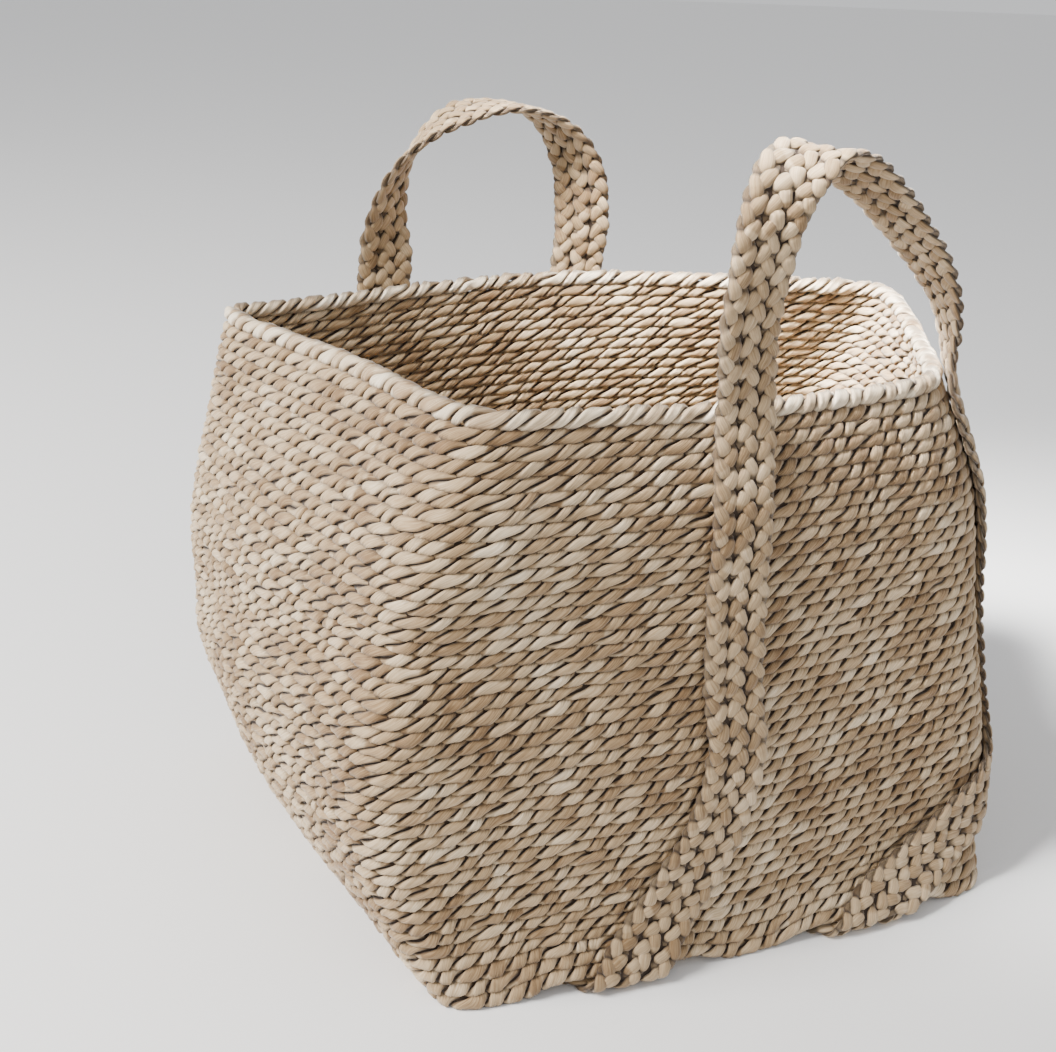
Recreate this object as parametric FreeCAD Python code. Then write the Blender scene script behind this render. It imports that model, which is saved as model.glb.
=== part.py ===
import FreeCAD, Part
import math
import os

# Woven storage basket, in millimetres, +Z up. The origin is on the floor, below the middle of the
# basket's box. A long two-ply cord is laid in courses, one on top of the other, and stitched. The base
# is a flat mat of the same cord. Two flat braided straps run under the base, up the two handle faces
# and over the rim as carry loops. X runs along the near handle face, which looks towards -Y.

Vector = FreeCAD.Vector
UP = Vector(0, 0, 1)

# ---- driving dimensions --------------------------------------------------------------------------
CORD = 9.0               # wall thickness: one flattened cord
COURSES = 42             # courses of cord between the base and the rim cord
RIM_HEIGHT = 12.0        # the rim cord is thicker than the others
RIM_WIDTH = 12.0
RIM_OVERHANG = (RIM_WIDTH - CORD) / 2.0
COURSE_GAP = 0.6         # air between neighbouring courses
STRAP_WIDTH = 50.0
STRAP_THICKNESS = 7.0
BAND_SHARES = [-1.0, -0.8, -0.3, 0.3, 0.8, 1.0]       # places across a strap
BAND_FULLNESS = {1.0: 0.35, 0.8: 0.92, 0.3: 1.0}      # share of its thickness there
STRAP_GAP = 2.2          # air between a strap and the wall behind it
TUCK_LIFT = 9.2          # how far a strap lifts the bottom edge of the wall where it tucks under
TUCK_FLAT = 48.0         # half length of the lifted stretch
TUCK_FADE = 45.0         # length over which the lift dies out sideways
TUCK_FADE_HEIGHT = 70.0  # height over which it dies out upwards
CURVE_POINTS = 160       # points that a course's closed edge curves are laid through

# Horizontal sections of the wall's outside, from the floor (0) to the rim (1). Corners go round
# anticlockwise from the near left one: (x, y). Bulges are of the sides that follow them.
SECTIONS = [
    # share of height, four corners,                                      corner size, side bulges
    (0.00, [(-235, -203), (245, -203), (234, 203), (-243, 204)], [60, 70, 70, 60], [10, 10, 5, 10]),
    (0.10, [(-260, -186), (249, -182), (222, 209), (-290, 205)], [60, 70, 70, 60], [16, 17, 8, 20]),
    (0.30, [(-288, -175), (251, -172), (224, 209), (-332, 210)], [80, 90, 90, 80], [20, 20, 14, 20]),
    (0.55, [(-282, -164), (231, -155), (249, 193), (-338, 213)], [80, 90, 90, 80], [20, 20, 28, 18]),
    (0.80, [(-251, -149), (213, -138), (276, 163), (-320, 216)], [85, 90, 90, 60], [20, 12, 50, 8]),
    (1.00, [(-209, -129), (174, -111), (287, 123), (-301, 220)], [85, 90, 90, 60], [17, 1, 93, -12]),
]
CORNER_HEIGHTS = [416, 411, 420, 398]    # height of the rim over each corner
MEAN_HEIGHT = sum(CORNER_HEIGHTS) / 4.0
POLES_PER_CORNER = 4
POLES = POLES_PER_CORNER * len(CORNER_HEIGHTS)
NEAR_MIDDLE = 3.0        # curve parameter at the middle of the near handle face
FAR_MIDDLE = 11.0        # and at the middle of the far one

# Soft folds in the wall: (parameter, share of height, rise per parameter, length, height, depth).
FOLDS = [
    (15.8, 0.555, 0.050, 2.6, 0.070, 9.0),
    (1.6, 0.585, -0.055, 1.6, 0.055, 5.0),
    (15.2, 0.860, 0.030, 2.2, 0.060, 4.0),
]

# Strap legs: (distance along the face from its middle, height). Below zero the strap is under the base.
STRAP_LEGS = {
    "near_strap_left": (NEAR_MIDDLE, [(1, 402), (0, 305), (8, 203), (8, 160), (-15, 102), (-48, 58),
                                      (-74, 25), (-98, 0), (-135, -46)]),
    "near_strap_right": (NEAR_MIDDLE, [(224, 398), (258, 320), (284, 240), (298, 170), (292, 122),
                                       (258, 84), (206, 55), (155, 24), (112, 0), (66, -44)]),
    "far_strap_left": (FAR_MIDDLE, [(-28, 404), (-36, 320), (-52, 230), (-68, 140), (-86, 60),
                                    (-96, 0), (-100, -40)]),
    "far_strap_right": (FAR_MIDDLE, [(148, 400), (136, 320), (124, 230), (112, 140), (100, 60),
                                     (94, 0), (92, -40)]),
}

# Carry loops. Route points: (share of the span between the pivots, height above them, lean outwards,
# twist). The twist turns the band's outer face from outwards (90) to away from the loop's middle (0).
PIVOT_ABOVE_RIM = 6.0
LOOPS = {
    "near_handle": ("near_strap_left", "near_strap_right",
                    [(0.00, 0, 0, 82), (-0.025, 45, 0, 79), (-0.01, 87, 0, 74), (0.01, 120, 0, 64),
                     (0.065, 146, 0, 46), (0.17, 160, 0, 4), (0.32, 148, 0, -22), (0.50, 125, 0, -14),
                     (0.64, 101, 0, -8), (0.77, 78, 0, -2), (0.88, 52, 0, 12), (0.96, 25, 0, 30),
                     (1.00, 0, 0, 43)]),
    "far_handle": ("far_strap_left", "far_strap_right",
                   [(0.00, 0, 0, 90), (-0.01, 40, 2, 70), (0.02, 78, 4, 50), (0.12, 110, 6, 28),
                    (0.27, 129, 7, 8), (0.46, 134, 7, 0), (0.66, 127, 7, -8), (0.83, 106, 6, 12),
                    (0.95, 74, 4, 40), (1.00, 38, 2, 64), (1.00, 0, 0, 90)]),
}

LEG_STEPS = 16           # sections of a strap leg between two route points
LOOP_STEPS = 2           # sections of a carry loop between two route points
SECTION_SAMPLES = 240    # steps used to measure along a section
FINE_STEP = 0.02         # parameter step used to find directions


# ---- the wall's shape ----------------------------------------------------------------------------
def mix(a, b, share):
    return a + (b - a) * share


def clamp(value, low, high):
    return max(low, min(high, value))


def smooth(share):
    share = clamp(share, 0.0, 1.0)
    return share * share * (3 - 2 * share)


def section_poles(corners, sizes, bulges):
    """Sixteen plan poles: each corner with one pole before and after it, then the side's middle."""
    count = len(corners)
    poles = []
    for index in range(count):
        here = Vector(corners[index][0], corners[index][1], 0)
        before = Vector(corners[index - 1][0], corners[index - 1][1], 0)
        after = Vector(corners[(index + 1) % count][0], corners[(index + 1) % count][1], 0)
        back = (before - here).normalize()
        onward = (after - here).normalize()
        outward = Vector(onward.y, -onward.x, 0)
        poles.append(here + back * sizes[index])
        poles.append(here)
        poles.append(here + onward * sizes[index])
        poles.append((here + after) * 0.5 + outward * bulges[index])
    return poles


SECTION_SHARES = [section[0] for section in SECTIONS]
SECTION_POLES = [section_poles(*section[1:]) for section in SECTIONS]


def level_slope(level, pole):
    """Change of a pole per share of height, for a smooth curve through the sections."""
    low = max(level - 1, 0)
    high = min(level + 1, len(SECTIONS) - 1)
    rise = SECTION_SHARES[high] - SECTION_SHARES[low]
    return (SECTION_POLES[high][pole] - SECTION_POLES[low][pole]) * (1.0 / rise)


def poles_at(share):
    """The sixteen plan poles at a share of the wall's height."""
    level = 0
    while level < len(SECTIONS) - 2 and share > SECTION_SHARES[level + 1]:
        level += 1
    step = SECTION_SHARES[level + 1] - SECTION_SHARES[level]
    s = (share - SECTION_SHARES[level]) / step
    poles = []
    for pole in range(POLES):
        start = SECTION_POLES[level][pole]
        end = SECTION_POLES[level + 1][pole]
        point = start * (1 - 3 * s ** 2 + 2 * s ** 3) + end * (3 * s ** 2 - 2 * s ** 3)
        point += level_slope(level, pole) * (step * (s - 2 * s ** 2 + s ** 3))
        point += level_slope(level + 1, pole) * (step * (s ** 3 - s ** 2))
        poles.append(point)
    return poles


def rim_pole_height(pole):
    corner = pole // POLES_PER_CORNER
    here = CORNER_HEIGHTS[corner]
    after = CORNER_HEIGHTS[(corner + 1) % len(CORNER_HEIGHTS)]
    return (here + after) / 2.0 if pole % POLES_PER_CORNER == 3 else here


def blend_poles(values, u):
    """Point of the periodic cubic B-spline at parameter u, one unit per pole."""
    start = int(math.floor(u))
    s = u - start
    weights = [(1 - s) ** 3, 3 * s ** 3 - 6 * s ** 2 + 4, -3 * s ** 3 + 3 * s ** 2 + 3 * s + 1, s ** 3]
    total = values[(start - 1) % POLES] * (weights[0] / 6.0)
    for offset in range(1, 4):
        total = total + values[(start + offset - 1) % POLES] * (weights[offset] / 6.0)
    return total


RIM_POLE_HEIGHTS = [rim_pole_height(pole) for pole in range(POLES)]


def plan_outward(poles, u):
    ahead = blend_poles(poles, u + FINE_STEP)
    behind = blend_poles(poles, u - FINE_STEP)
    tangent = (ahead - behind).normalize()
    return Vector(tangent.y, -tangent.x, 0)


def fold_depth(u, share):
    """How far the soft folds push the wall in."""
    depth = 0.0
    for middle, height, rise, length, tall, deep in FOLDS:
        along = (u - middle + POLES / 2.0) % POLES - POLES / 2.0
        across = share - height - rise * along
        depth += deep * math.exp(-(along / length) ** 2 - (across / tall) ** 2)
    return depth


def arc_table(share):
    """Distances from parameter zero along the section at this share of the height."""
    poles = poles_at(share)
    points = [blend_poles(poles, POLES * k / float(SECTION_SAMPLES)) for k in range(SECTION_SAMPLES + 1)]
    table = [0.0]
    for a, b in zip(points, points[1:]):
        table.append(table[-1] + (b - a).Length)
    return table


def distance_at(table, u):
    turns = math.floor(u / POLES)
    place = (u - turns * POLES) * SECTION_SAMPLES / POLES
    index = min(int(place), SECTION_SAMPLES - 1)
    return turns * table[-1] + mix(table[index], table[index + 1], place - index)


def parameter_at(table, distance):
    turns = math.floor(distance / table[-1])
    rest = distance - turns * table[-1]
    index = 0
    while table[index + 1] < rest:
        index += 1
    inside = (rest - table[index]) / (table[index + 1] - table[index])
    return turns * POLES + (index + inside) * POLES / SECTION_SAMPLES


FLOOR_TABLE = arc_table(0.0)


def leg_floor_distance(middle, route):
    """Where a strap crosses the bottom edge, as a distance along that edge."""
    crossing = [s for s, height in route if height == 0][0]
    return distance_at(FLOOR_TABLE, middle) + crossing


TUCKS = [leg_floor_distance(middle, route) for middle, route in STRAP_LEGS.values()]


def tuck_lift(u, height):
    """Lift of the wall's lowest courses where the straps tuck under them."""
    here = distance_at(FLOOR_TABLE, u)
    around = FLOOR_TABLE[-1]
    lift = 0.0
    for tuck in TUCKS:
        away = abs((here - tuck + around / 2.0) % around - around / 2.0)
        lift = max(lift, 1 - smooth((away - TUCK_FLAT) / TUCK_FADE))
    return TUCK_LIFT * lift * (1 - smooth(height / TUCK_FADE_HEIGHT))


def wall_point(u, share, outward=0.0):
    """Point of the wall's outside at parameter u, moved outwards in plan by the given distance."""
    poles = poles_at(share)
    point = blend_poles(poles, u) + plan_outward(poles, u) * (outward - fold_depth(u, share))
    height = blend_poles(RIM_POLE_HEIGHTS, u) * share
    return Vector(point.x, point.y, height + tuck_lift(u, height))


def wall_normal(u, share):
    """Outward direction square to the wall."""
    along = wall_point(u + FINE_STEP, share) - wall_point(u - FINE_STEP, share)
    low = max(share - FINE_STEP, 0.0)
    high = min(share + FINE_STEP, 1.0)
    upward = wall_point(u, high) - wall_point(u, low)
    return along.cross(upward).normalize()


# ---- courses, rim and base -----------------------------------------------------------------------
def closed_curve(points):
    """Smooth closed edge through a loop of points."""
    curve = Part.BSplineCurve()
    curve.interpolate(points, PeriodicFlag=True)
    return curve.toShape()


def closed_edge(share, outward, rise):
    """Closed curve round the wall at a share of its height."""
    places = [POLES * k / float(CURVE_POINTS) for k in range(CURVE_POINTS)]
    return closed_curve([wall_point(u, share, outward) + UP * rise for u in places])


def ring(low_share, high_share, outer, inner, low_rise, high_rise):
    """Closed band between two shares of the height and two outward offsets."""
    edges = [
        closed_edge(low_share, outer, low_rise),
        closed_edge(high_share, outer, high_rise),
        closed_edge(high_share, inner, high_rise),
        closed_edge(low_share, inner, low_rise),
    ]
    faces = [Part.makeRuledSurface(edges[k], edges[(k + 1) % 4]) for k in range(4)]
    solid = Part.makeSolid(Part.makeShell(faces))
    if solid.Volume < 0:
        solid.reverse()
    return solid


RIM_SHARE = 1 - RIM_HEIGHT / MEAN_HEIGHT


def wall_course(number):
    """One course of cord, counted from 1 at the floor."""
    low = RIM_SHARE * (number - 1) / COURSES
    high = RIM_SHARE * number / COURSES
    return ring(low, high, 0.0, -CORD, COURSE_GAP / 2.0, -COURSE_GAP / 2.0)


def rim_cord():
    return ring(RIM_SHARE, 1.0, RIM_OVERHANG, -CORD - RIM_OVERHANG, COURSE_GAP / 2.0, 0.0)


def tuck_box(name, margin, bottom, top):
    """Block round a strap's tail, used to make room for it in the base mat."""
    middle, route = STRAP_LEGS[name]
    frames = [strap_frame(middle, s, height) for s, height in route[-2:]]
    start = frames[0][0]
    end = frames[1][0]
    along = Vector(end.x - start.x, end.y - start.y, 0).normalize()
    side = Vector(-along.y, along.x, 0)
    reach = start - along * STRAP_WIDTH
    far = end + along * margin
    half = STRAP_WIDTH / 2.0 + margin
    corners = [reach - side * half, far - side * half, far + side * half, reach + side * half]
    corners = [Vector(corner.x, corner.y, bottom) for corner in corners]
    outline = Part.Face(Part.makePolygon(corners + corners[:1]))
    return outline.extrude(UP * (top - bottom))


def room_inside(share, height):
    """Upright column that clears the wall's inside at a share of its height."""
    inset = -CORD - 2 * COURSE_GAP
    points = [wall_point(POLES * k / float(CURVE_POINTS), share, inset) for k in range(CURVE_POINTS)]
    outline = Part.Face(Part.Wire(closed_curve([Vector(point.x, point.y, 0) for point in points])))
    return outline.extrude(UP * height)


def base_mat():
    """Flat woven floor inside the first course, humped where the four strap tails pass under it."""
    top = CORD + TUCK_LIFT
    column = room_inside(0.0, top).common(room_inside(1.5 * top / MEAN_HEIGHT, top))
    mat = column.common(Part.makeBox(1000, 1000, CORD, Vector(-500, -500, 0)))
    for name in STRAP_LEGS:
        hump = tuck_box(name, CORD, 0.0, CORD + TUCK_LIFT - COURSE_GAP).common(column)
        mat = mat.fuse(hump)
    for name in STRAP_LEGS:
        mat = mat.cut(tuck_box(name, 2 * COURSE_GAP, -CORD, TUCK_LIFT))
    return mat.removeSplitter()


# ---- straps --------------------------------------------------------------------------------------
def strap_frame(middle, along, height, out=0.0):
    """Point at a distance along a handle face and a height, moved outwards, and its outward direction.

    Heights below zero go round the wall's bottom edge and on under the base.
    """
    share = clamp(height / MEAN_HEIGHT, 0.0, 1.0)
    table = arc_table(share)
    u = parameter_at(table, distance_at(table, middle) + along)
    point = wall_point(u, share)
    normal = wall_normal(u, share)
    if height < 0:
        quarter = math.pi / 2 * (STRAP_GAP + STRAP_THICKNESS / 2.0)
        turn = clamp(-height / quarter, 0.0, 1.0) * math.pi / 2
        outward = Vector(normal.x, normal.y, 0).normalize()
        tilt = math.asin(normal.z)
        angle = mix(tilt, -math.pi / 2, turn / (math.pi / 2))
        normal = outward * math.cos(angle) + UP * math.sin(angle)
        point = point - outward * max(-height - quarter, 0.0)
        point.z = TUCK_LIFT
    return point + normal * out, normal


def catmull_rom(points, steps):
    """Denser list of tuples along a smooth curve through the given ones."""
    padded = [points[0]] + list(points) + [points[-1]]
    result = []
    for k in range(1, len(padded) - 2):
        for step in range(steps):
            s = step / float(steps)
            row = []
            for a, b, c, d in zip(padded[k - 1], padded[k], padded[k + 1], padded[k + 2]):
                row.append(0.5 * (2 * b + (c - a) * s + (2 * a - 5 * b + 4 * c - d) * s ** 2
                                  + (3 * b - a - 3 * c + d) * s ** 3))
            result.append(tuple(row))
    result.append(tuple(points[-1]))
    return result


def spline_knots(count):
    """Degree, knots and repeats of a clamped spline through this many poles."""
    degree = min(3, count - 1)
    knots = list(range(count - degree + 1))
    repeats = [degree + 1] + [1] * (len(knots) - 2) + [degree + 1]
    return degree, knots, repeats


def smooth_sheet(grid):
    """Surface drawn by a grid of poles."""
    row_degree, row_knots, row_repeats = spline_knots(len(grid))
    column_degree, column_knots, column_repeats = spline_knots(len(grid[0]))
    sheet = Part.BSplineSurface()
    sheet.buildFromPolesMultsKnots(grid, row_repeats, column_repeats, row_knots, column_knots,
                                   False, False, row_degree, column_degree)
    return sheet.toShape()


def band_solid(rows):
    """Flat band along a route. Each row holds (point, outward direction) pairs from edge to edge."""
    outer = []
    inner = []
    for row in rows:
        halves = [normal * (BAND_FULLNESS[abs(share)] * STRAP_THICKNESS / 2.0)
                  for (point, normal), share in zip(row, BAND_SHARES)]
        outer.append([pair[0] + half for pair, half in zip(row, halves)])
        inner.append([pair[0] - half for pair, half in zip(row, halves)])
    grids = [
        outer,
        inner,
        [[out_row[0], in_row[0]] for out_row, in_row in zip(outer, inner)],
        [[out_row[-1], in_row[-1]] for out_row, in_row in zip(outer, inner)],
        [list(pair) for pair in zip(outer[0], inner[0])],
        [list(pair) for pair in zip(outer[-1], inner[-1])],
    ]
    shell = Part.makeShell([smooth_sheet(grid) for grid in grids])
    shell.sewShape()
    solid = Part.makeSolid(shell)
    if solid.Volume < 0:
        solid.reverse()
    return solid


def rim_clearance(height):
    """How much further out a strap runs where it passes the rim cord, which is wider than the wall."""
    start = MEAN_HEIGHT - 3 * RIM_HEIGHT
    return RIM_OVERHANG * smooth((height - start) / RIM_HEIGHT)


def strap_leg(name):
    """Strap from just below the rim, down over the wall and under the base."""
    middle, route = STRAP_LEGS[name]
    stations = catmull_rom(route, LEG_STEPS)
    rows = []
    for k, (along, height) in enumerate(stations):
        before = stations[max(k - 1, 0)]
        after = stations[min(k + 1, len(stations) - 1)]
        run = math.hypot(after[0] - before[0], after[1] - before[1])
        side = (-(after[1] - before[1]) / run, (after[0] - before[0]) / run)
        row = []
        for share in BAND_SHARES:
            reach = share * STRAP_WIDTH / 2.0
            row.append(strap_frame(middle, along + side[0] * reach, height + side[1] * reach,
                                   STRAP_GAP + STRAP_THICKNESS / 2.0 + rim_clearance(height)))
        rows.append(row)
    return band_solid(rows)


def loop_pivots(name):
    """The two points above the rim that a carry loop turns about, and the outward direction."""
    pivots = []
    for leg in LOOPS[name][:2]:
        middle, route = STRAP_LEGS[leg]
        out = STRAP_GAP + STRAP_THICKNESS / 2.0 + RIM_OVERHANG
        pivots.append(strap_frame(middle, route[0][0], MEAN_HEIGHT, out)[0])
    level = max(pivot.z for pivot in pivots) + PIVOT_ABOVE_RIM
    pivots = [Vector(pivot.x, pivot.y, level) for pivot in pivots]
    along = (pivots[1] - pivots[0]).normalize()
    outward = Vector(along.y, -along.x, 0)
    return pivots[0], pivots[1], along, outward


def handle_loop(name):
    """Carry loop: a flat band that twists as it goes over."""
    start, end, along, outward = loop_pivots(name)
    span = (end - start).Length
    stations = catmull_rom(LOOPS[name][2], LOOP_STEPS)
    route = [start + along * (share * span) + UP * rise + outward * lean
             for share, rise, lean, twist in stations]
    rows = []
    for k, point in enumerate(route):
        if k in (0, len(route) - 1):
            tangent = UP if k == 0 else -UP
        else:
            tangent = (route[k + 1] - route[k - 1]).normalize()
        away = outward.cross(tangent).normalize()
        twist = math.radians(stations[k][3])
        face = outward * math.sin(twist) + away * math.cos(twist)
        across = tangent.cross(face).normalize()
        rows.append([(point + across * (share * STRAP_WIDTH / 2.0), face) for share in BAND_SHARES])
    return band_solid(rows)


# ---- all the pieces ------------------------------------------------------------------------------
def build():
    """Every piece by name, as modelled about the middle of the base."""
    pieces = {"base_mat": base_mat(), "rim_cord": rim_cord()}
    for number in range(1, COURSES + 1):
        pieces["wall_course_%02d" % number] = wall_course(number)
    for name in STRAP_LEGS:
        pieces[name] = strap_leg(name)
    for name in LOOPS:
        pieces[name] = handle_loop(name)
    return pieces


def shift_to_origin(pieces):
    """Move that puts the origin on the floor below the middle of the whole box."""
    box = FreeCAD.BoundBox()
    for shape in pieces.values():
        box.add(shape.optimalBoundingBox(False, False))
    return Vector(-box.Center.x, -box.Center.y, -box.ZMin)


def main():
    os.makedirs("parts", exist_ok=True)
    pieces = build()
    shift = shift_to_origin(pieces)
    for name, shape in pieces.items():
        shape.translate(shift)
        shape.exportStep("parts/%s.step" % name)
        print("%-18s valid %s solids %d volume %.0f" % (
            name, shape.isValid(), len(shape.Solids), shape.Volume))
    for name in LOOPS:
        pivots = loop_pivots(name)
        print(name, "pivot", [round(v, 2) for v in pivots[0] + shift],
              "axis", [round(v, 4) for v in pivots[2]])
    print("shift", [round(v, 2) for v in shift])


main()
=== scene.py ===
"""Looks of a slouching woven storage basket: twisted cord courses, a thicker rim cord, a coiled base
and two flat straps of three plaits, each running up a face, over as a carry loop and down again."""
import math
import bpy
import numpy as np
from mathutils import Matrix, Vector


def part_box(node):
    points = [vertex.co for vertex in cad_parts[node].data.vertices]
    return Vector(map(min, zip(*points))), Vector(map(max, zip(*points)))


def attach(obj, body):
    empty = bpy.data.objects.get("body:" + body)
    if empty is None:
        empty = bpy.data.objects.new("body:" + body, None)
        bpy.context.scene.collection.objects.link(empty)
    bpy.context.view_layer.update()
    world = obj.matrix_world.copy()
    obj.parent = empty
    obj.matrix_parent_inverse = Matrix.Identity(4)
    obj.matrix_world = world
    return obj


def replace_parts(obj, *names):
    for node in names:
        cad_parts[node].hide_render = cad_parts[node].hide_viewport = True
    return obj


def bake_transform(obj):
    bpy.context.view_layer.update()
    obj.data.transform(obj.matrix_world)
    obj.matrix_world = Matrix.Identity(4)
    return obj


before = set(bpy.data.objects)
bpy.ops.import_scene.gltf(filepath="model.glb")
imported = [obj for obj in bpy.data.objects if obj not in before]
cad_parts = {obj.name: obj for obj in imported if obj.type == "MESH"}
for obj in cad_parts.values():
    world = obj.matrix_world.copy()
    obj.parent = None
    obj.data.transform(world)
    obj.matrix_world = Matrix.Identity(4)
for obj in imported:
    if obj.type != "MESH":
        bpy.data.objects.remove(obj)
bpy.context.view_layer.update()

# ---- driving dimensions, in metres ---------------------------------------------------------------
MM = 0.001
CORD = 9 * MM                  # wall thickness
COURSES = 42
RIM_HEIGHT = 12 * MM
RIM_WIDTH = 12 * MM
RIM_OVERHANG = (RIM_WIDTH - CORD) / 2
STRAP_HALF = 25 * MM
STRAP_OUT = 5.7 * MM           # middle of a strap's thickness above the wall
WRAP = math.pi / 2 * STRAP_OUT
TUCK_LIFT = 9.2 * MM
TUCK_FLAT = 48 * MM
TUCK_FADE = 45 * MM
TUCK_FADE_HEIGHT = 70 * MM
POLES = 16
FINE_STEP = 0.02
RING_SAMPLES = 1024

# Horizontal sections of the wall's outside, in millimetres as in the part's source: share of height,
# four corners anticlockwise from the near left, corner sizes, bulges of the sides that follow. The
# corners and bulges are a least-squares fit's, rounded; the corner sizes were chosen.
SECTIONS = [
    (0.00, [(-235, -203), (245, -203), (234, 203), (-243, 204)], [60, 70, 70, 60], [10, 10, 5, 10]),
    (0.10, [(-260, -186), (249, -182), (222, 209), (-290, 205)], [60, 70, 70, 60], [16, 17, 8, 20]),
    (0.30, [(-288, -175), (251, -172), (224, 209), (-332, 210)], [80, 90, 90, 80], [20, 20, 14, 20]),
    (0.55, [(-282, -164), (231, -155), (249, 193), (-338, 213)], [80, 90, 90, 80], [20, 20, 28, 18]),
    (0.80, [(-251, -149), (213, -138), (276, 163), (-320, 216)], [85, 90, 90, 60], [20, 12, 50, 8]),
    (1.00, [(-209, -129), (174, -111), (287, 123), (-301, 220)], [85, 90, 90, 60], [17, 1, 93, -12]),
]
CORNER_HEIGHTS = [416, 411, 420, 398]
MEAN_HEIGHT = sum(CORNER_HEIGHTS) / 4 * MM
RIM_SHARE = 1 - RIM_HEIGHT / MEAN_HEIGHT
NEAR_MIDDLE = 3.0
FAR_MIDDLE = 11.0
# Soft folds: (parameter, share of height, rise per parameter, length, height, depth in millimetres).
FOLDS = [
    (15.8, 0.555, 0.050, 2.6, 0.070, 9.0),
    (1.6, 0.585, -0.055, 1.6, 0.055, 5.0),
    (15.2, 0.860, 0.030, 2.2, 0.060, 4.0),
]
# Strap legs, in millimetres: (distance along the face from its middle, height), from the rim down.
NEAR_LEFT = [(1, 402), (0, 305), (8, 203), (8, 160), (-15, 102), (-48, 58), (-74, 25), (-98, 0),
             (-135, -46)]
NEAR_RIGHT = [(224, 398), (258, 320), (284, 240), (298, 170), (292, 122), (258, 84), (206, 55),
              (155, 24), (112, 0), (66, -44)]
FAR_LEFT = [(-28, 404), (-36, 320), (-52, 230), (-68, 140), (-86, 60), (-96, 0), (-100, -40)]
FAR_RIGHT = [(148, 400), (136, 320), (124, 230), (112, 140), (100, 60), (94, 0), (92, -40)]
# Carry loops: (share of the span, height above the pivots and lean in millimetres, twist in degrees).
PIVOT_ABOVE_RIM = 6 * MM
NEAR_LOOP = [(0.00, 0, 0, 82), (-0.025, 45, 0, 79), (-0.01, 87, 0, 74), (0.01, 120, 0, 64),
             (0.065, 146, 0, 46), (0.17, 160, 0, 4), (0.32, 148, 0, -22), (0.50, 125, 0, -14),
             (0.64, 101, 0, -8), (0.77, 78, 0, -2), (0.88, 52, 0, 12), (0.96, 25, 0, 30),
             (1.00, 0, 0, 43)]
FAR_LOOP = [(0.00, 0, 0, 90), (-0.01, 40, 2, 70), (0.02, 78, 4, 50), (0.12, 110, 6, 28),
            (0.27, 129, 7, 8), (0.46, 134, 7, 0), (0.66, 127, 7, -8), (0.83, 106, 6, 12),
            (0.95, 74, 4, 40), (1.00, 38, 2, 64), (1.00, 0, 0, 90)]


# ---- small helpers -------------------------------------------------------------------------------
def smooth(share):
    share = np.clip(share, 0, 1)
    return share * share * (3 - 2 * share)


def length_of(vectors):
    return np.linalg.norm(vectors, axis=-1, keepdims=True)


def unit(vectors):
    return vectors / length_of(vectors)


def travelled(points):
    """Distance from the first point to each point of a line."""
    steps = length_of(np.diff(points, axis=0))[:, 0]
    return np.concatenate([[0], np.cumsum(steps)])


def pick(places, known, rows):
    """Rows of values at other places, by straight interpolation."""
    flat = rows.reshape(len(rows), -1)
    columns = [np.interp(places, known, flat[:, k]) for k in range(flat.shape[1])]
    return np.stack(columns, -1).reshape((len(places),) + rows.shape[1:])


def catmull_rom(points, steps):
    """Denser rows along a smooth curve through the given ones."""
    rows = np.array([points[0]] + list(points) + [points[-1]], float)
    dense = []
    for k in range(1, len(rows) - 2):
        a, b, c, d = rows[k - 1:k + 3]
        for s in np.arange(steps) / steps:
            dense.append(0.5 * (2 * b + (c - a) * s + (2 * a - 5 * b + 4 * c - d) * s ** 2
                                + (3 * b - a - 3 * c + d) * s ** 3))
    dense.append(rows[-1])
    return np.array(dense)


# ---- the wall's shape ----------------------------------------------------------------------------
def section_poles(corners, sizes, bulges):
    corners = np.array(corners) * MM
    poles = []
    for index in range(4):
        here = corners[index]
        onward = unit(corners[(index + 1) % 4] - here)
        back = unit(corners[index - 1] - here)
        outward = np.array([onward[1], -onward[0]])
        poles.append(here + back * sizes[index] * MM)
        poles.append(here)
        poles.append(here + onward * sizes[index] * MM)
        poles.append((here + corners[(index + 1) % 4]) / 2 + outward * bulges[index] * MM)
    return poles


def rim_pole_heights():
    heights = []
    for index in range(4):
        here = CORNER_HEIGHTS[index] * MM
        after = CORNER_HEIGHTS[(index + 1) % 4] * MM
        heights += [here, here, here, (here + after) / 2]
    return np.array(heights).reshape(1, POLES, 1)


SHARES = np.array([section[0] for section in SECTIONS])
SECTION_POLES = np.array([section_poles(*section[1:]) for section in SECTIONS])
RIM_POLE_HEIGHTS = rim_pole_heights()


def poles_at(share):
    """Plan poles at each share of the wall's height, on smooth curves through the sections."""
    level = np.clip(np.searchsorted(SHARES, share) - 1, 0, len(SHARES) - 2)
    step = (SHARES[level + 1] - SHARES[level])[:, None, None]
    s = (share - SHARES[level])[:, None, None] / step

    def slope(index):
        low = np.maximum(index - 1, 0)
        high = np.minimum(index + 1, len(SHARES) - 1)
        return (SECTION_POLES[high] - SECTION_POLES[low]) / (SHARES[high] - SHARES[low])[:, None, None]

    return (SECTION_POLES[level] * (1 - 3 * s ** 2 + 2 * s ** 3)
            + SECTION_POLES[level + 1] * (3 * s ** 2 - 2 * s ** 3)
            + slope(level) * step * (s - 2 * s ** 2 + s ** 3)
            + slope(level + 1) * step * (s ** 3 - s ** 2))


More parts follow.
